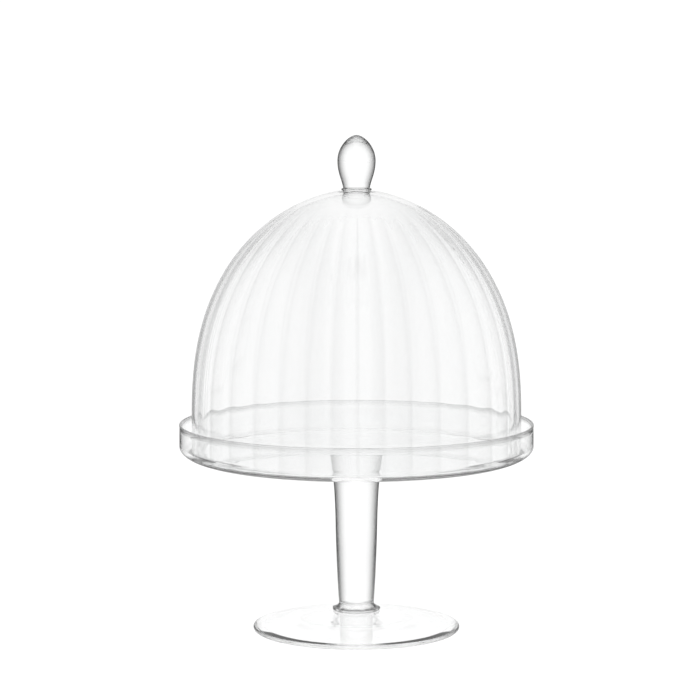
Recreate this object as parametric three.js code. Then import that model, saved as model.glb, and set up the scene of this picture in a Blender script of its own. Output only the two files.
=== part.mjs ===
// A glass cake stand with a ribbed glass dome, in millimetres.
// +Z is up, the stand's axis is the Z axis, and the foot stands on z = 0.
// The stand is a foot, a fused ring, a solid stem and a plate.
// The dome is a shell, a collar and a solid knob, and it stands loosely on the plate, inside the rim.
import * as THREE from "three";

// ---------------------------------------------------------------- driving dimensions

const fusedGap = 0.3; // left between bodies that are fused or that rest on each other

const footRadius = 83.8;
const footEdge = 3.6; // thickness of the foot's round edge
const footSeatRadius = 19;
const footSeatHeight = 15.1; // top of the foot's cone, where the ring sits
const footConePower = 1.2; // over 1, the cone is steepest near the edge
const groundRingInner = 75;
const groundRingOuter = 80.6;
const footHollow = 8.8; // height of the hollow under the middle of the foot
const footHollowBend = 41; // radius where the hollow starts to come down

const ringRadius = 19.3;
const ringHeight = 6.8;
const ringBead = 1.1; // radius of its rounded edge

const stemFootRadius = 14.3;
const stemWaist = [ // radius and height of the stem's side on its way up
  [15.5, 42.7],
  [16.6, 70.7],
  [17.2, 96.7],
  [18.4, 118.7],
];
const stemPlateRadius = 21;

const plateRadius = 142.9;
const plateUnderside = 139.8;
const plateFloor = 144.7; // the face that the cake and the dome stand on
const plateWall = 1.8;
const plateCornerRun = 23.5; // how far in the rounded lower corner reaches
const plateCornerRise = 11; // and how high
const innerCornerRun = 6.8; // the same for the corner inside the rim
const innerCornerRise = 7.5;
const lipRadius = 1;
const lipHeight = 167.8; // height of the middle of the lip's bead
const lipOverhang = lipRadius - plateWall / 2; // the bead stands out this far on both sides of the rim

const domeRadius = 133.1; // over the crests of the ribs, at the foot of the dome
const domeWall = 2.6;
const domeShoulder = 168.2; // the wall is upright up to here
const domeApex = 357.4; // where the outline would close, under the collar
const domeCrownGlass = 3.6; // wall thickness at the crown
const domeHeightPower = 2.56; // the bell is a superellipse with these two powers
const domeRadiusPower = 1.81;
const domeSeatHeight = 355.7; // the crown is flat here, under the collar
const domeCeilingDrop = 1.3; // the inside of the bell stops this far short of closing,
const bossDepth = 3.2; // at a thick spot that hangs this far down
const bossTipRadius = 7.8;

const ribCount = 36;
const ribDepth = 0.9; // from crest to groove, low on the bell
const ribFadeRadius = 45; // ribs die away above the height where the bell is this narrow

const collarRadius = 12.2;
const collarHeight = 2;

const knobTop = 400.4;
const knobRadius = 15.35;
const knobWidest = 379.85; // height of the knob's widest point
const knobBaseRadius = 10.8;
const knobNeck = 5.7; // how far up the knob's foot stays nearly upright
const knobFlare = 0.7; // and how much it widens there
const knobTaper = 10.1; // the longer these three, the fuller the egg: below the widest point,
const knobShoulder = 11.4; // above it,
const knobCrown = 6.1; // and across the top

const roundSegments = 64; // steps around a wide piece
const slimSegments = 32; // and around a slim one
const samplesPerRib = 3;

// ---------------------------------------------------------------- helpers

const point = (radius, height) => new THREE.Vector2(radius, height);

// An arc of an ellipse about (radius, height), with the angle in degrees from the outward direction.
function arc(radius, height, run, rise, fromDegrees, toDegrees, steps) {
  const points = [];
  for (let i = 0; i <= steps; i += 1) {
    const angle = THREE.MathUtils.degToRad(fromDegrees + ((toDegrees - fromDegrees) * i) / steps);
    points.push(point(radius + run * Math.cos(angle), height + rise * Math.sin(angle)));
  }
  return points;
}

// A solid of revolution about Z. The profile runs outwards and up, from axis to axis, or it closes.
function turned(profile, segments) {
  const geometry = new THREE.LatheGeometry(profile, segments);
  geometry.rotateX(Math.PI / 2);
  return geometry;
}

function glassMesh(name, geometry, color, roughness) {
  const material = new THREE.MeshStandardMaterial({ color, roughness, metalness: 0 });
  material.transparent = true;
  material.opacity = 0.35;
  const mesh = new THREE.Mesh(geometry, material);
  mesh.name = name;
  return mesh;
}

const solidGlass = (name, geometry) => glassMesh(name, geometry, 0xe9eef0, 0.03);
const thinGlass = (name, geometry) => glassMesh(name, geometry, 0xf3f6f7, 0.02);

// ---------------------------------------------------------------- the stand

// Height of the foot's upper face at a radius, from its edge up to the ring's seat.
function footConeHeight(radius) {
  const share = (radius - footSeatRadius) / (footRadius - footEdge / 2 - footSeatRadius);
  return footEdge + (footSeatHeight - footEdge) * (1 - share ** footConePower);
}

// A thin disc, coned on top and hollow underneath, on a flat ring near its round edge.
function foot() {
  const hollow = new THREE.QuadraticBezierCurve(
    point(0, footHollow),
    point(footHollowBend, footHollow),
    point(groundRingInner, 0),
  ).getPoints(6);
  const coneSteps = 6;
  const cone = [];
  for (let i = 1; i <= coneSteps; i += 1) {
    const radius = THREE.MathUtils.lerp(footRadius - footEdge / 2, footSeatRadius, i / coneSteps);
    cone.push(point(radius, footConeHeight(radius)));
  }
  const halfEdge = footEdge / 2;
  const edge = arc(footRadius - halfEdge, halfEdge, halfEdge, halfEdge, -60, 90, 5);
  const profile = [...hollow, point(groundRingOuter, 0), ...edge, ...cone, point(0, footSeatHeight)];
  return solidGlass("foot", turned(profile, roundSegments));
}

const ringBase = footSeatHeight + fusedGap;
const ringTop = ringBase + ringHeight;

// The fused ring between the foot and the stem: a bead that sweeps up into the stem.
function stemFootRing() {
  const bead = arc(ringRadius - ringBead, ringBase + ringBead, ringBead, ringBead, -90, 60, 4);
  const sweep = new THREE.QuadraticBezierCurve(
    bead[bead.length - 1],
    point(stemFootRadius, ringBase + ringHeight * 0.4),
    point(stemFootRadius, ringTop),
  ).getPoints(5);
  const profile = [point(0, ringBase), ...bead, ...sweep.slice(1), point(0, ringTop)];
  return solidGlass("stem_foot_ring", turned(profile, slimSegments));
}

// The solid stem, slim at the ring and spreading under the plate.
function stem() {
  const bottom = ringTop + fusedGap;
  const top = plateUnderside - fusedGap;
  const side = new THREE.SplineCurve([
    point(stemFootRadius, bottom),
    ...stemWaist.map(([radius, height]) => point(radius, height)),
    point(stemPlateRadius, top),
  ]).getPoints(12);
  return solidGlass("stem", turned([point(0, bottom), ...side, point(0, top)], slimSegments));
}

// The flat plate with its upright rim, rounded lower corner and lip.
function plate() {
  const outerCorner = arc(
    plateRadius - plateCornerRun, plateUnderside + plateCornerRise,
    plateCornerRun, plateCornerRise, -90, 0, 7,
  );
  const lipTurn = THREE.MathUtils.radToDeg(Math.acos(plateWall / 2 / lipRadius));
  const lip = arc(
    plateRadius + lipOverhang - lipRadius, lipHeight,
    lipRadius, lipRadius, -lipTurn, 180 + lipTurn, 7,
  );
  const innerCorner = arc(
    plateRadius - plateWall - innerCornerRun, plateFloor + innerCornerRise,
    innerCornerRun, innerCornerRise, 0, -90, 6,
  );
  const profile = [point(0, plateUnderside), ...outerCorner, ...lip, ...innerCorner, point(0, plateFloor)];
  return solidGlass("plate", turned(profile, roundSegments));
}

// ---------------------------------------------------------------- the dome

// Radius of a bell at a height between its shoulder and its apex.
function bellRadius(radius, shoulder, apex, height) {
  const share = THREE.MathUtils.clamp((height - shoulder) / (apex - shoulder), 0, 1);
  return radius * (1 - share ** domeHeightPower) ** (1 / domeRadiusPower);
}

// One side of a bell, from its shoulder up to lastHeight.
function bellSide(radius, shoulder, apex, lastHeight, steps) {
  const points = [];
  const lastAngle = Math.asin((lastHeight - shoulder) / (apex - shoulder));
  for (let i = 0; i <= steps; i += 1) {
    const height = shoulder + (apex - shoulder) * Math.sin((lastAngle * i) / steps);
    points.push(point(bellRadius(radius, shoulder, apex, height), height));
  }
  return points;
}

// Presses the ribs into the bell's outer face: a shallow groove between crests, with one groove on +X.
function pressRibs(geometry) {
  const place = geometry.getAttribute("position");
  for (let i = 0; i < place.count; i += 1) {
    const radius = Math.hypot(place.getX(i), place.getY(i));
    const outline = bellRadius(domeRadius, domeShoulder, domeApex, place.getZ(i));
    const fade = THREE.MathUtils.smoothstep(radius, ribFadeRadius, ribFadeRadius * 2);
    const onOuterFace = radius > outline - 0.01;
    if (!onOuterFace || fade === 0) continue;
    const angle = Math.atan2(place.getY(i), place.getX(i));
    const groove = (1 + Math.cos(ribCount * angle)) / 2;
    const scale = 1 - (ribDepth * fade * groove) / radius;
    place.setXY(i, place.getX(i) * scale, place.getY(i) * scale);
  }
}

// The blown bell, open underneath, with a round edge at its foot and a thick spot inside its crown.
function domeShell() {
  const half = domeWall / 2;
  const base = plateFloor + fusedGap;
  const baseEdge = arc(domeRadius - half, base + half, half, half, -180, 0, 5);
  const outside = bellSide(domeRadius, domeShoulder, domeApex, domeSeatHeight, 10);
  const innerApex = domeApex - domeCrownGlass;
  const ceiling = innerApex - domeCeilingDrop;
  const inside = bellSide(domeRadius - domeWall, domeShoulder, innerApex, ceiling, 9);
  const profile = [
    ...baseEdge,
    ...outside,
    point(0, domeSeatHeight),
    point(0, ceiling - bossDepth),
    point(bossTipRadius, ceiling - bossDepth),
    ...inside.reverse(),
    baseEdge[0].clone(),
  ];
  const geometry = turned(profile, ribCount * samplesPerRib);
  pressRibs(geometry);
  return thinGlass("dome_shell", geometry);
}

const collarBase = domeSeatHeight + fusedGap;
const collarTop = collarBase + collarHeight;

// The pad of glass that fuses the knob to the crown.
function knobCollar() {
  const half = collarHeight / 2;
  const side = arc(collarRadius - half, collarBase + half, half, half, -90, 90, 5);
  const profile = [point(0, collarBase), ...side, point(0, collarTop)];
  return solidGlass("knob_collar", turned(profile, slimSegments));
}

// The solid egg-shaped knob, drawn in towards its base.
function knob() {
  const base = collarTop + fusedGap;
  const taper = new THREE.CubicBezierCurve(
    point(knobBaseRadius, base),
    point(knobBaseRadius + knobFlare, base + knobNeck),
    point(knobRadius, knobWidest - knobTaper),
    point(knobRadius, knobWidest),
  ).getPoints(8);
  const crown = new THREE.CubicBezierCurve(
    point(knobRadius, knobWidest),
    point(knobRadius, knobWidest + knobShoulder),
    point(knobCrown, knobTop),
    point(0, knobTop),
  ).getPoints(9);
  return solidGlass("knob", turned([point(0, base), ...taper, ...crown.slice(1)], slimSegments));
}

// ---------------------------------------------------------------- the assembly

const stand = new THREE.Group();
stand.add(foot(), stemFootRing(), stem(), plate());

const dome = new THREE.Group();
dome.add(domeShell(), knobCollar(), knob());

const cakeStand = new THREE.Group();
cakeStand.add(stand, dome);

export default cakeStand;
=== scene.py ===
"""The looks of a glass cake stand with a ribbed glass dome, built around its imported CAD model.

Lengths are in metres. Every piece is turned about the Z axis from a profile of (radius, height) points.
"""
import math

import bpy
import numpy as np
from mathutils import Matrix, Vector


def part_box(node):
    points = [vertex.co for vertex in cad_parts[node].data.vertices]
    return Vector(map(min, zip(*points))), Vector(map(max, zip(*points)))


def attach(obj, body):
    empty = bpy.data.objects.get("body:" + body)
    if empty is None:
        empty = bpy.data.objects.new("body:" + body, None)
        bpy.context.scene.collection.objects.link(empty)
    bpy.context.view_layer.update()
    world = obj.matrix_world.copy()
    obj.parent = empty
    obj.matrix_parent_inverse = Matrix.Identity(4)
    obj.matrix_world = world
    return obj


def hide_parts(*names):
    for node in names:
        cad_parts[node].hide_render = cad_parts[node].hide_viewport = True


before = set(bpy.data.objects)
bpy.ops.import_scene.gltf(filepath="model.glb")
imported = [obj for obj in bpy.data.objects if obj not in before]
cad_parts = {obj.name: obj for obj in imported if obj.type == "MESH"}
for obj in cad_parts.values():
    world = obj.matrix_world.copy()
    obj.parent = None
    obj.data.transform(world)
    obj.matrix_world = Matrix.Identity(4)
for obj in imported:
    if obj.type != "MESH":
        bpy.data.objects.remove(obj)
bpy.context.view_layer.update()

MM = 0.001
TURN = 2 * math.pi

# ---------------------------------------------------------------- outer sizes, from the CAD nodes

FOOT_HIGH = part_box("foot")[1]
RING_LOW, RING_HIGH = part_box("stem_foot_ring")
STEM_LOW, STEM_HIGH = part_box("stem")
PLATE_LOW, PLATE_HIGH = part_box("plate")
DOME_LOW, DOME_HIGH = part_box("dome_shell")
COLLAR_LOW, COLLAR_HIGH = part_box("knob_collar")
KNOB_LOW, KNOB_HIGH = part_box("knob")

# ---------------------------------------------------------------- sizes of details

FOOT_EDGE = 3.6 * MM
FOOT_SEAT = 19 * MM  # radius of the flat that carries the ring
CONE_POWER = 1.2
GROUND_RING = (75 * MM, 80.6 * MM)  # inner and outer radius of the flat that the foot stands on
FOOT_HOLLOW = 8.8 * MM
FOOT_HOLLOW_BEND = 41 * MM

RING_BEAD = 1.1 * MM  # radius of the ring's rounded edge
RING_SWEEP = 0.4  # the share of its height within which it draws in to the stem
RING_DENTS = (0.22 * MM, 0.12 * MM)  # depth of the tool marks around it, sideways and upwards
DENTS_START, DENTS_GROWTH = 0.6 * MM, 3 * MM  # they start this far outside the stem, and grow for this long

STEM_FOOT = 14.3 * MM
STEM_WAIST = [(15.5, 42.7), (16.6, 70.7), (17.2, 96.7), (18.4, 118.7)]  # radius and height in millimetres

PLATE_FLOOR = 144.7 * MM
PLATE_WALL = 1.8 * MM
CORNER = (23.5 * MM, 11 * MM)  # run and rise of the rounded lower corner
INNER_CORNER = (6.8 * MM, 7.5 * MM)
LIP = 1 * MM  # radius of the bead along the rim
LIP_TURN = 36  # degrees that the bead turns in under its middle
LIP_OVERHANG = LIP - PLATE_WALL / 2

DOME_WALL = 2.6 * MM
DOME_SHOULDER = 168.2 * MM
DOME_APEX = 357.4 * MM
CROWN_GLASS = 3.6 * MM
HEIGHT_POWER, RADIUS_POWER = 2.56, 1.81  # of the bell's outline, a superellipse
CEILING_DROP = 1.3 * MM
BOSS_DEPTH, BOSS_TIP = 3.2 * MM, 7.8 * MM  # the thick spot inside the crown

RIBS = 36
RIB_DEPTH = 0.45 * MM
RIB_FADE = (45 * MM, 90 * MM)  # the ribs grow in between these radii
RIB_PAINTED_SHADE_SPREAD = (0.06, 0.16)  # how far a groove's painted shade line spreads outwards and inwards, in ribs
REAR_SPREAD = 0.125  # how far the ribs at the back fan out more than those in front, in radians
REAR_EASE = 0.3  # which starts at the sides and is whole this far towards the back
UNEVEN_SINES = {2: 0.11, 4: 0.22}  # how far the ribs stray, in ribs, by waves in a whole turn
UNEVEN_COSINES = {1: -0.15, 3: 0.1}
FOOT_RIBS = 0.3  # share of the ribs' depth at the dome's lower edge
FOOT_RIBS_RISE = 3 * MM  # and they are whole this far up
WOBBLE = 0.12 * MM  # the bell is out of round by this much
WOBBLE_RISE = 22  # and changes with height by this many radians in a metre

KNOB_WIDEST = 379.85 * MM
KNOB_BASE, KNOB_FLARE, KNOB_NECK = 10.8 * MM, 0.7 * MM, 5.7 * MM
KNOB_TAPER, KNOB_SHOULDER, KNOB_CROWN = 10.1 * MM, 11.4 * MM, 6.1 * MM

SLIM_SEGMENTS = 128  # steps around the stem, collar and knob
FOOT_SEGMENTS = 192  # around the foot and its ring
PLATE_SEGMENTS = 256
RIB_SEGMENTS = 16  # around the dome, for each rib
BELL_STEPS = 62  # up each side of the dome
SHARP_ANGLE = math.radians(40)
NEAR = 0.01 * MM  # two heights or radii closer than this are the same

# How strongly painted shade darkens the glass along an edge or at a joint, from 0 to 1.
FOOT_PAINTED_SHADE = 0.3
FOOT_PAINTED_SHADE_START = 3.2 * MM  # this far in from the foot's edge
FOOT_PAINTED_SHADE_GROWTH = 1.4 * MM  # and it is whole this much further out
RING_PAINTED_SHADE = 0.7  # around the middle of its rounded edge
RING_PAINTED_SHADE_WIDTH = 0.9 * MM
LIP_PAINTED_SHADE = 0.7
COLLAR_PAINTED_SHADE = 0.4  # on its upper half
KNOB_PAINTED_SHADE_HEIGHT = 1.2 * MM  # the knob's painted shade is 1 at its base and has gone this far up
CROWN_PAINTED_SHADE = 0.75  # around the collar
CROWN_PAINTED_SHADE_REACH = 24 * MM

# ---------------------------------------------------------------- profiles: lists of (radius, height)


def arc(radius, height, run, rise, start, end, steps):
    """Part of an ellipse about (radius, height), in degrees from the outward direction."""
    turns = [math.radians(start + (end - start) * i / steps) for i in range(steps + 1)]
    return [(radius + run * math.cos(t), height + rise * math.sin(t)) for t in turns]


def between(a, b, share):
    """The point a share of the way from a to b."""
    return tuple(p + (q - p) * share for p, q in zip(a, b))


def line(a, b, steps):
    """Points from a to b, without a."""
    return [between(a, b, i / steps) for i in range(1, steps + 1)]


def bezier(controls, steps):
    """A Bezier curve of any degree."""
    found = []
    for i in range(steps + 1):
        points = list(controls)
        while len(points) > 1:
            points = [between(a, b, i / steps) for a, b in zip(points, points[1:])]
        found.append(points[0])
    return found


def catmull_rom(p, q, r, s, t):
    """One coordinate of the curve from q to r, with p before them and s after."""
    slope = (r - p) * t
    bend = (2 * p - 5 * q + 4 * r - s) * t**2
    twist = (3 * q - p - 3 * r + s) * t**3
    return 0.5 * (2 * q + slope + bend + twist)


def spline(points, steps):
    """A Catmull-Rom curve through the points."""
    padded = [points[0], *points, points[-1]]
    found = [points[0]]
    for corners in zip(padded, padded[1:], padded[2:], padded[3:]):
        for i in range(1, steps + 1):
            found.append(tuple(catmull_rom(*values, i / steps) for values in zip(*corners)))
    return found


def bell_radius(radius, shoulder, apex, height):
    """Radius of a bell at a height, as a superellipse."""
    share = min(max((height - shoulder) / (apex - shoulder), 0.0), 1.0)
    return radius * (1 - share**HEIGHT_POWER) ** (1 / RADIUS_POWER)


def bell_side(radius, shoulder, apex, last):
    """One side of a bell, from its shoulder up to the height last."""
    end = math.asin((last - shoulder) / (apex - shoulder))
    turns = [end * i / BELL_STEPS for i in range(BELL_STEPS + 1)]
    heights = [shoulder + (apex - shoulder) * math.sin(t) for t in turns]
    return [(bell_radius(radius, shoulder, apex, h), h) for h in heights]


# ---------------------------------------------------------------- meshes


def paint_shade(piece, values):
    """Stores one number per point, from 0 to 1, which the glass materials read as painted shade."""
    painted_shade = piece.data.attributes.new("painted_shade", "FLOAT", "POINT")
    painted_shade.data.foreach_set("value", np.clip(values, 0, 1))


def places(piece):
    """The points of a piece, as rows of x, y and z."""
    found = np.zeros(len(piece.data.vertices) * 3)
    piece.data.vertices.foreach_get("co", found)
    return found.reshape(-1, 3)


def lathe(name, profile, segments, shape=None):
    """A closed smooth body of revolution.

    The profile starts and ends on the axis, with the glass on its left. Its other points become rings, and
    shape(angle, radius, height) may return new radii and heights for them.
    """
    rings = np.array(profile[1:-1])
    angle = np.arange(segments)[None, :] * TURN / segments * np.ones((len(rings), 1))
    radius = rings[:, :1] * np.ones(segments)
    height = rings[:, 1:] * np.ones(segments)
    if shape:
        radius, height = shape(angle, radius, height)
    grid = np.stack([radius * np.cos(angle), radius * np.sin(angle), height], axis=-1).reshape(-1, 3)
    first_pole, last_pole = len(grid), len(grid) + 1
    verts = np.vstack([grid, [[0, 0, profile[0][1]]], [[0, 0, profile[-1][1]]]])
    faces = []
    for i in range(len(rings) - 1):
        ring, next_ring = i * segments, (i + 1) * segments
        for j in range(segments):
            k = (j + 1) % segments
            faces.append((ring + j, ring + k, next_ring + k, next_ring + j))
    last_ring = (len(rings) - 1) * segments
    for j in range(segments):
        k = (j + 1) % segments
        faces.append((first_pole, k, j))
        faces.append((last_pole, last_ring + j, last_ring + k))
    mesh = bpy.data.meshes.new(name)
    mesh.from_pydata(verts.tolist(), [], faces)
    mesh.update()
    mesh.shade_smooth()
    mesh.set_sharp_from_angle(angle=SHARP_ANGLE)
    piece = bpy.data.objects.new(name, mesh)
    bpy.context.scene.collection.objects.link(piece)
    return piece


def dress(piece, node, body, glass, joints):
    """Puts a piece in place of its CAD node. joints are the (height, radius) of its fused faces."""
    piece.data.materials.append(glass)
    piece.data.materials.append(FUSED)
    for face in piece.data.polygons:
        reach = max(math.hypot(*piece.data.vertices[v].co[:2]) for v in face.vertices)
        for height, radius in joints:
            if abs(face.center.z - height) < NEAR and reach < radius + NEAR:
                face.material_index = 1
    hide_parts(node)
    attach(piece, body)


# ---------------------------------------------------------------- materials


def node_tree(material):
    """The empty node tree of a material or world."""
    material.use_nodes = True
    tree = material.node_tree
    tree.nodes.clear()
    return tree


def add(tree, kind, **values):
    """A node, with values for its own settings and, where it has no such setting, for its inputs."""
    node = tree.nodes.new(kind)
    for name, value in values.items():
        if hasattr(node, name):
            setattr(node, name, value)
        else:
            node.inputs[name.replace("_", " ")].default_value = value
    return node


def math_node(tree, operation, *values):
    """The result of a Math node on outputs or plain numbers."""
    node = add(tree, "ShaderNodeMath", operation=operation)
    for slot, value in zip(node.inputs, values):
        if isinstance(value, (int, float)):
            slot.default_value = value
        else:
            tree.links.new(value, slot)
    return node.outputs[0]


def ramp(tree, stops):
    """A grey colour ramp from {position: value}."""
    node = tree.nodes.new("ShaderNodeValToRGB")
    elements = node.color_ramp.elements
    while len(elements) < len(stops):
        elements.new(0.5)
    for element, (place, value) in zip(elements, sorted(stops.items())):
        element.position = place
        element.color = (value, value, value, 1)
    return node


def shaded(tree, colour, stops, share=None):
    """Multiplies a colour by a ramp of how far the glass turns away, as much as share says, which paints
    shade into it.
    """
    facing = add(tree, "ShaderNodeLayerWeight", Blend=0.5)
    edge = ramp(tree, stops)
    tree.links.new(facing.outputs["Facing"], edge.inputs["Fac"])
    mix = add(tree, "ShaderNodeMix", data_type="RGBA", blend_type="MULTIPLY")
    mix.inputs["Factor"].default_value = 1.0
    if share:
        tree.links.new(share, mix.inputs["Factor"])
    tree.links.new(colour, mix.inputs["A"])
    tree.links.new(edge.outputs["Color"], mix.inputs["B"])
    return mix.outputs["Result"]


def glass_colour(tree, where, tint, edge_shade_stops, painted_shade_stops):
    """Nearly white, with faint streaks of the tint, and painted shade that darkens it edge on and where the
    points store it.
    """
    streaks = add(tree, "ShaderNodeTexNoise", Scale=22.0, Detail=2.0)
    tree.links.new(where, streaks.inputs["Vector"])
    veil = add(tree, "ShaderNodeMix", data_type="RGBA")
    veil.inputs["A"].default_value = (1, 1, 1, 1)
    veil.inputs["B"].default_value = (*tint, 1)
    tree.links.new(streaks.outputs["Fac"], veil.inputs["Factor"])
    painted_shade = add(tree, "ShaderNodeAttribute", attribute_name="painted_shade")
    colour = shaded(tree, veil.outputs["Result"], edge_shade_stops)
    return shaded(tree, colour, painted_shade_stops, painted_shade.outputs["Fac"])


def glass_ripple(tree, where, scale, strength):
    """The slow ripple of hand-blown glass, as a surface normal."""
    waves = add(tree, "ShaderNodeTexNoise", Scale=scale, Detail=1.0)
    tree.links.new(where, waves.inputs["Vector"])
    bump = add(tree, "ShaderNodeBump", Strength=strength, Distance=1 * MM)
    tree.links.new(waves.outputs["Fac"], bump.inputs["Height"])
    return bump.outputs["Normal"]


def glass_material(name, tint, ripple, edge_shade_stops, painted_shade_stops):
    """Clear glass that darkens nothing on the floor around it. ripple is its scale and strength."""
    material = bpy.data.materials.new(name)
    tree = node_tree(material)
    link = tree.links.new
    where = add(tree, "ShaderNodeTexCoord").outputs["Object"]
    glass = add(tree, "ShaderNodeBsdfPrincipled", Roughness=0.0, IOR=1.5, Transmission_Weight=1.0)
    link(glass_colour(tree, where, tint, edge_shade_stops, painted_shade_stops), glass.inputs["Base Color"])
    link(glass_ripple(tree, where, *ripple), glass.inputs["Normal"])
    clear = add(tree, "ShaderNodeBsdfTransparent", Color=(1, 1, 1, 1))
    rays = add(tree, "ShaderNodeLightPath")
    passes = math_node(tree, "MAXIMUM", rays.outputs["Is Shadow Ray"], rays.outputs["Is Diffuse Ray"])
    mix = add(tree, "ShaderNodeMixShader")
    out = add(tree, "ShaderNodeOutputMaterial")
    link(passes, mix.inputs["Fac"])
    link(glass.outputs["BSDF"], mix.inputs[1])
    link(clear.outputs["BSDF"], mix.inputs[2])
    link(mix.outputs["Shader"], out.inputs["Surface"])
    return material


def fused_material():
    """Two pieces are one glass across a fused joint, so its faces bend no light."""
    material = bpy.data.materials.new("fused_joint")
    tree = node_tree(material)
    clear = add(tree, "ShaderNodeBsdfTransparent")
    out = add(tree, "ShaderNodeOutputMaterial")
    tree.links.new(clear.outputs["BSDF"], out.inputs["Surface"])
    return material


# Brightness through the glass against how far it turns away: 0 is face on, 1 is edge on. Face on it is a
# faint tint of the glass, and the darkening towards edge on is painted shade.
SOLID_EDGE_PAINTED_SHADE = {
    0: 1, 0.05: 0.99, 0.13: 0.95, 0.21: 0.82, 0.27: 0.66, 0.32: 0.51, 0.37: 0.39, 0.44: 0.25,
    0.52: 0.11, 0.6: 0.04, 0.75: 0.01, 1: 0.01,
}
PLATE_EDGE_PAINTED_SHADE = {0: 0.995, 0.5: 0.98, 0.75: 0.94, 0.9: 0.86, 1: 0.75}
DOME_EDGE_PAINTED_SHADE = {0: 0.95, 0.6: 0.945, 0.8: 0.9, 0.88: 0.6, 1: 0.25}

# The same again, on top of those, as painted shade where the points store it.
JOINT_PAINTED_SHADE = {0: 0.35, 0.5: 0.25, 1: 0.1}
BEAD_PAINTED_SHADE = {0: 0.9, 0.3: 0.5, 0.5: 0.15, 1: 0.05}
RIB_PAINTED_SHADE = {0: 0.92, 0.25: 0.88, 0.45: 0.78, 0.6: 0.62, 0.8: 0.55, 1: 0.5}

FUSED = fused_material()
SOLID_GLASS = glass_material("solid_clear_glass", (0.98, 0.985, 0.985), (30, 0.05), SOLID_EDGE_PAINTED_SHADE, JOINT_PAINTED_SHADE)
PLATE_GLASS = glass_material("plate_clear_glass", (0.985, 0.99, 0.99), (18, 0.03), PLATE_EDGE_PAINTED_SHADE, BEAD_PAINTED_SHADE)
DOME_GLASS = glass_material("dome_clear_glass", (0.988, 0.992, 0.992), (14, 0.015), DOME_EDGE_PAINTED_SHADE, RIB_PAINTED_SHADE)

# ---------------------------------------------------------------- the stand


def cone_height(radius):
    """Height of the foot's upper face, from its edge up to the ring's seat."""
    share = (radius - FOOT_SEAT) / (FOOT_HIGH.x - FOOT_EDGE / 2 - FOOT_SEAT)
    return FOOT_EDGE + (FOOT_HIGH.z - FOOT_EDGE) * (1 - max(share, 0) ** CONE_POWER)


def make_foot():
    """A thin coned disc, hollow underneath, with painted shade that darkens its round edge a little."""
    half = FOOT_EDGE / 2
    joint = RING_HIGH.x - RING_BEAD
    hollow = bezier([(0, FOOT_HOLLOW), (FOOT_HOLLOW_BEND, FOOT_HOLLOW), (GROUND_RING[0], 0)], steps=40)
    edge = arc(FOOT_HIGH.x - half, half, half, half, -60, 90, steps=14)
    radii = np.linspace(FOOT_HIGH.x - half, FOOT_SEAT, num=40)[1:]
    cone = [(r, cone_height(r)) for r in radii]
    seat = [(joint, FOOT_HIGH.z), (joint / 2, FOOT_HIGH.z), (0, FOOT_HIGH.z)]
    profile = [*hollow, (GROUND_RING[1], 0), *edge, *cone, *seat]
    piece = lathe("foot_disc", profile, FOOT_SEGMENTS)
    # Painted shade near the round edge.
    past_start = np.hypot(*places(piece)[:, :2].T) - FOOT_HIGH.x + FOOT_PAINTED_SHADE_START
    paint_shade(piece, FOOT_PAINTED_SHADE * np.clip(past_start / FOOT_PAINTED_SHADE_GROWTH, 0, 1))
    dress(piece, "foot", "stand", PLATE_GLASS, [(FOOT_HIGH.z, joint)])


def make_ring():
    """The fused ring, with the small uneven dents that the tools leave around its edge."""
    low, high = RING_LOW.z, RING_HIGH.z
    joint = RING_HIGH.x - RING_BEAD
    bead = arc(joint, low + RING_BEAD, RING_BEAD, RING_BEAD, -90, 60, steps=12)
    sweep = bezier([bead[-1], (STEM_FOOT, low + (high - low) * RING_SWEEP), (STEM_FOOT, high)], steps=24)
    profile = [(0, low), (joint / 2, low), *bead, *sweep[1:], (STEM_FOOT / 2, high), (0, high)]

    def dents(angle, radius, height):
        # Two waves that run out of step, so that no two dents are alike.
        near_edge = np.clip((radius - STEM_FOOT - DENTS_START) / DENTS_GROWTH, 0, 1) * (height > low + NEAR)
        waves = np.sin(11 * angle + 0.8 * np.sin(3 * angle)) + 0.6 * np.sin(17 * angle + 2)
        sideways, upwards = RING_DENTS
        return radius + sideways * waves * near_edge, height + upwards * waves * near_edge

    piece = lathe("stem_ring", profile, FOOT_SEGMENTS, dents)
    # Painted shade along the middle of the rounded edge.
    from_bead = places(piece)[:, 2] - low - RING_BEAD
    paint_shade(piece, RING_PAINTED_SHADE * np.exp(-((from_bead / RING_PAINTED_SHADE_WIDTH) ** 2)))
    joints = [(low, joint), (high, STEM_FOOT)]
    dress(piece, "stem_foot_ring", "stand", SOLID_GLASS, joints)


def make_stem():
    """The solid stem, slim at the ring and spreading under the plate."""
    low, high, wide = STEM_LOW.z, STEM_HIGH.z, STEM_HIGH.x
    waist = [(radius * MM, height * MM) for radius, height in STEM_WAIST]
    side = spline([(STEM_FOOT, low), *waist, (wide, high)], steps=12)
    profile = [(0, low), (STEM_FOOT / 2, low), *side, (wide / 2, high), (0, high)]
    piece = lathe("stem_rod", profile, SLIM_SEGMENTS)
    dress(piece, "stem", "stand", SOLID_GLASS, [(low, STEM_FOOT), (high, wide)])


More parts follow.
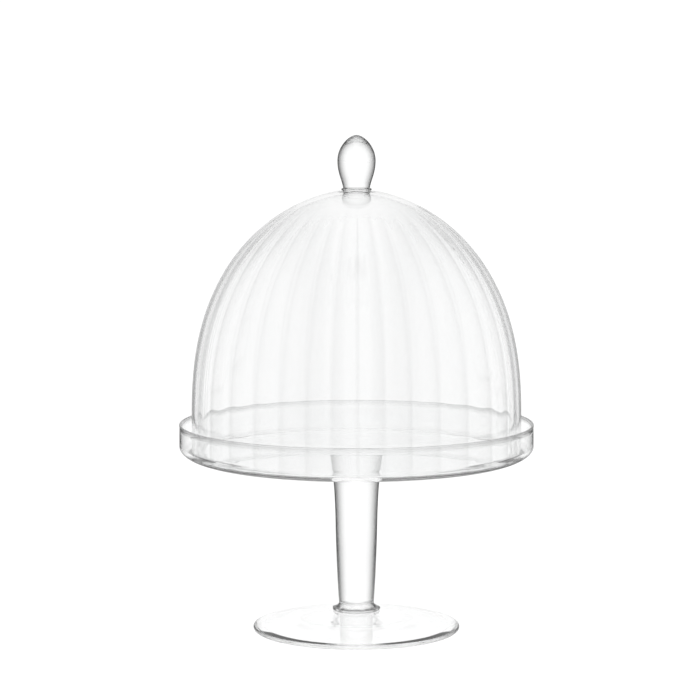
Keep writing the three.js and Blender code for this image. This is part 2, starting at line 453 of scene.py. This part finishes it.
def make_plate():
    """The flat plate with its rounded lower corner, its upright rim and the bead along the rim."""
    low = PLATE_LOW.z
    joint = STEM_HIGH.x
    rim = PLATE_HIGH.x - LIP_OVERHANG
    inner_wall = rim - PLATE_WALL
    outer = arc(rim - CORNER[0], low + CORNER[1], *CORNER, -90, 0, steps=28)
    lip = arc(PLATE_HIGH.x - LIP, PLATE_HIGH.z - LIP, LIP, LIP, -LIP_TURN, 180 + LIP_TURN, steps=20)
    inner = arc(inner_wall - INNER_CORNER[0], PLATE_FLOOR + INNER_CORNER[1], *INNER_CORNER, 0, -90, steps=18)
    under = [(0, low), (joint / 2, low), (joint, low), *line((joint, low), outer[0], steps=8)[:-1]]
    outer_wall = line(outer[-1], lip[0], steps=4)[:-1]
    inner_side = line(lip[-1], inner[0], steps=4)[:-1]
    top = line(inner[-1], (0, PLATE_FLOOR), steps=10)
    profile = [*under, *outer, *outer_wall, *lip, *inner_side, *inner, *top]
    piece = lathe("plate_disc", profile, PLATE_SEGMENTS)
    # Painted shade in the bead along the rim.
    paint_shade(piece, LIP_PAINTED_SHADE * (places(piece)[:, 2] > PLATE_HIGH.z - 2 * LIP))
    dress(piece, "plate", "stand", PLATE_GLASS, [(low, joint)])


# ---------------------------------------------------------------- the dome


def rib_count_at(angle):
    """How many grooves have been passed at an angle. They are a little uneven, as in blown glass."""
    spread = REAR_SPREAD * np.cos(angle) * np.clip(np.sin(angle) / REAR_EASE, 0, 1)
    sideways = TURN / 4 - np.arccos(np.cos(angle)) - spread  # from the middle of the front or the back
    uneven = sum(size * np.sin(waves * sideways) for waves, size in UNEVEN_SINES.items())
    uneven += sum(size * np.cos(waves * sideways) for waves, size in UNEVEN_COSINES.items())
    count = RIBS * (sideways - TURN / 4) / TURN + uneven
    at_back = np.sin(angle) > 0
    return np.where(at_back, -count, count)


def rib_fade(radius):
    """1 where the ribs are at their full depth, 0 near the crown."""
    share = np.clip((radius - RIB_FADE[0]) / (RIB_FADE[1] - RIB_FADE[0]), 0, 1)
    return share * share * (3 - 2 * share)


def rib_painted_shade(place):
    """A painted shade line down each groove, soft on the side of the dome's middle and crisp on the other.
    """
    x, y = place[:, 0], place[:, 1]
    count = rib_count_at(np.arctan2(y, x) % TURN)
    outwards = (count - np.round(count)) * -np.sign(x * y)
    crisp = np.exp(-((outwards / RIB_PAINTED_SHADE_SPREAD[0]) ** 2))
    soft = np.exp(-np.abs(outwards) / RIB_PAINTED_SHADE_SPREAD[1])
    return np.where(outwards > 0, crisp, soft) * rib_fade(np.hypot(x, y))


def crown_painted_shade(place):
    """Painted shade: the glass is a little darker around the fused collar."""
    reach = np.hypot(place[:, 0], place[:, 1])
    return CROWN_PAINTED_SHADE * np.exp(-((reach / CROWN_PAINTED_SHADE_REACH) ** 2))


def make_dome():
    """The tall bell with its soft ribs, a round lower edge and a thick spot inside its crown."""
    base, high = DOME_LOW.z, DOME_HIGH.z
    half = DOME_WALL / 2
    edge = arc(DOME_HIGH.x - half, base + half, half, half, 180, 360, steps=16)
    outside = bell_side(DOME_HIGH.x, DOME_SHOULDER, DOME_APEX, high)
    inner_apex = DOME_APEX - CROWN_GLASS
    ceiling = inner_apex - CEILING_DROP
    inside = bell_side(DOME_HIGH.x - DOME_WALL, DOME_SHOULDER, inner_apex, ceiling)
    tip = ceiling - BOSS_DEPTH
    boss_side = (BOSS_TIP * 1.3, ceiling - BOSS_DEPTH / 4)
    boss = bezier([(BOSS_TIP / 2, tip), (BOSS_TIP, tip), boss_side, inside[-1]], steps=14)
    inner_part = [(0, tip), *boss, *inside[::-1][1:], *line(inside[0], edge[0], steps=6)[:-1]]
    outer_part = [*edge, *line(edge[-1], outside[0], steps=6)[:-1], *outside]
    joint = COLLAR_HIGH.x - (COLLAR_HIGH.z - COLLAR_LOW.z) / 2
    crown = [(joint, high), (joint / 2, high), (0, high)]

    def ribs(angle, radius, height):
        # The inner face follows the grooves too, so the wall stays even.
        groove = (1 + np.cos(TURN * rib_count_at(angle))) / 2
        out_of_round = WOBBLE * np.sin(2 * angle + 0.7) * np.sin(height * WOBBLE_RISE)
        share = rib_fade(radius) * np.clip((height - base) / FOOT_RIBS_RISE, FOOT_RIBS, 1)
        return radius - (groove * RIB_DEPTH + out_of_round) * share, height

    segments = RIBS * RIB_SEGMENTS
    piece = lathe("dome_bell", [*inner_part, *outer_part, *crown], segments, ribs)
    place = places(piece)
    # Painted shade along the grooves and around the collar, on the outer face alone.
    painted_shade_values = rib_painted_shade(place) + crown_painted_shade(place)
    inner_rings = len(inner_part) - 1 + len(edge) // 2
    painted_shade_values[: inner_rings * segments] = 0
    paint_shade(piece, painted_shade_values)
    dress(piece, "dome_shell", "dome", DOME_GLASS, [(high, joint)])


def make_collar():
    """The pad that fuses the knob to the crown."""
    low, high = COLLAR_LOW.z, COLLAR_HIGH.z
    half = (high - low) / 2
    flat = COLLAR_HIGH.x - half
    side = arc(flat, low + half, half, half, -90, 90, steps=16)
    top = [(KNOB_BASE, high), (KNOB_BASE / 2, high), (0, high)]
    piece = lathe("crown_collar", [(0, low), (flat / 2, low), *side, *top], SLIM_SEGMENTS)
    # Painted shade on the upper half.
    paint_shade(piece, COLLAR_PAINTED_SHADE * (places(piece)[:, 2] > low + half))
    dress(piece, "knob_collar", "dome", SOLID_GLASS, [(low, flat), (high, KNOB_BASE)])


def make_knob():
    """The solid egg-shaped knob, with a painted shade line where it is fused to the collar."""
    low, high, wide = KNOB_LOW.z, KNOB_HIGH.z, KNOB_HIGH.x
    widest = (wide, KNOB_WIDEST)
    neck = (KNOB_BASE + KNOB_FLARE, low + KNOB_NECK)
    taper = bezier([(KNOB_BASE, low), neck, (wide, KNOB_WIDEST - KNOB_TAPER), widest], steps=36)
    crown = bezier([widest, (wide, KNOB_WIDEST + KNOB_SHOULDER), (KNOB_CROWN, high), (0, high)], steps=40)
    piece = lathe("knob_egg", [(0, low), (KNOB_BASE / 2, low), *taper, *crown[1:]], SLIM_SEGMENTS)
    paint_shade(piece, 1 - (places(piece)[:, 2] - low) / KNOB_PAINTED_SHADE_HEIGHT)
    dress(piece, "knob", "dome", SOLID_GLASS, [(low, KNOB_BASE)])


# ---------------------------------------------------------------- floor, light and camera

# Brightness of the surroundings, as a mirror reflection shows them, against how far they lie to the side.
MIRRORED = {0: 0.95, 0.15: 0.85, 0.3: 0.35, 0.4: 0.1, 0.55: 0.1, 0.75: 0.7, 1: 1}

FLOOR_REACH = 40.0
FLOOR_DROP = 0.2 * MM
FLOOR_GREY = 0.8
PALE_REACH = 0.5  # nearer to the stand than this, the floor counts as less to the side
WORLD_STRENGTH = 1.08
SUN_ENERGY = 0.9
SUN_WIDTH = 70  # degrees, for a soft light
SUN_TILT = (12, -10, 0)
CAMERA_PLACE = (-5.2 * MM, -2.178, 0.4727)
CAMERA_DOWN = 6.42  # degrees below the horizon
LENS = 140
SENSOR = 36
VIEW_END = 200
BOUNCES = 32
MIRROR_BOUNCES = 16


def stage_colour(tree, plain, sideways):
    """A grey for the stage, darker towards the sides in mirror reflections, as between two grey screens."""
    rays = add(tree, "ShaderNodeLightPath")
    mirrored = math_node(tree, "MULTIPLY", rays.outputs["Is Glossy Ray"], rays.outputs["Is Reflection Ray"])
    shade = ramp(tree, {place: plain * value for place, value in MIRRORED.items()})
    tree.links.new(sideways, shade.inputs["Fac"])
    colour = add(tree, "ShaderNodeMix", data_type="RGBA")
    colour.inputs["A"].default_value = (plain, plain, plain, 1)
    tree.links.new(mirrored, colour.inputs["Factor"])
    tree.links.new(shade.outputs["Color"], colour.inputs["B"])
    return colour.outputs["Result"]


def size_of_x(tree, vector):
    """How far a vector reaches along X, to either side."""
    split = add(tree, "ShaderNodeSeparateXYZ")
    tree.links.new(vector, split.inputs["Vector"])
    return math_node(tree, "ABSOLUTE", split.outputs["X"])


def floor_material():
    """Plain white paper, with a painted reflection: mirror reflections show it darker towards the sides."""
    material = bpy.data.materials.new("floor_paper")
    tree = node_tree(material)
    where = add(tree, "ShaderNodeTexCoord").outputs["Object"]
    length = add(tree, "ShaderNodeVectorMath", operation="LENGTH")
    tree.links.new(where, length.inputs[0])
    distance = math_node(tree, "MAXIMUM", length.outputs["Value"], PALE_REACH)
    sideways = math_node(tree, "DIVIDE", size_of_x(tree, where), distance)
    paper = add(tree, "ShaderNodeBsdfDiffuse")
    tree.links.new(stage_colour(tree, FLOOR_GREY, sideways), paper.inputs["Color"])
    out = add(tree, "ShaderNodeOutputMaterial")
    tree.links.new(paper.outputs["BSDF"], out.inputs["Surface"])
    return material


def make_floor():
    """A wide floor, a little under the foot."""
    size = FLOOR_REACH
    mesh = bpy.data.meshes.new("floor")
    corners = [(-size, -size, 0), (size, -size, 0), (size, size, 0), (-size, size, 0)]
    mesh.from_pydata(corners, [], [(0, 1, 2, 3)])
    mesh.materials.append(floor_material())
    floor = bpy.data.objects.new("floor", mesh)
    floor.location.z = -FLOOR_DROP
    bpy.context.scene.collection.objects.link(floor)


def make_world():
    """White all round, as in a photo studio."""
    world = bpy.data.worlds.new("studio")
    bpy.context.scene.world = world
    tree = node_tree(world)
    direction = add(tree, "ShaderNodeTexCoord").outputs["Generated"]
    back = add(tree, "ShaderNodeBackground", Strength=WORLD_STRENGTH)
    tree.links.new(stage_colour(tree, 1.0, size_of_x(tree, direction)), back.inputs["Color"])
    out = add(tree, "ShaderNodeOutputWorld")
    tree.links.new(back.outputs["Background"], out.inputs["Surface"])


def make_light():
    """A soft light from above, which the glass itself doesn't show."""
    data = bpy.data.lights.new("overhead", "SUN")
    data.energy = SUN_ENERGY
    data.angle = math.radians(SUN_WIDTH)
    lamp = bpy.data.objects.new("overhead", data)
    lamp.rotation_euler = [math.radians(turn) for turn in SUN_TILT]
    lamp.visible_glossy = False
    lamp.visible_transmission = False
    bpy.context.scene.collection.objects.link(lamp)


def make_camera():
    """Straight in front of the stand, looking slightly down."""
    data = bpy.data.cameras.new("camera")
    data.lens = LENS
    data.sensor_width = SENSOR
    data.clip_end = VIEW_END
    camera = bpy.data.objects.new("camera", data)
    camera.location = CAMERA_PLACE
    camera.rotation_euler = (math.radians(90 - CAMERA_DOWN), 0, 0)
    bpy.context.scene.collection.objects.link(camera)
    bpy.context.scene.camera = camera


def set_scene():
    """Plain colours, and enough bounces for light to cross every wall of glass."""
    scene = bpy.context.scene
    scene.view_settings.view_transform = "Standard"
    scene.cycles.max_bounces = BOUNCES
    scene.cycles.transmission_bounces = BOUNCES
    scene.cycles.transparent_max_bounces = BOUNCES
    scene.cycles.glossy_bounces = MIRROR_BOUNCES


make_foot()
make_ring()
make_stem()
make_plate()
make_dome()
make_collar()
make_knob()
make_floor()
make_world()
make_light()
make_camera()
set_scene()
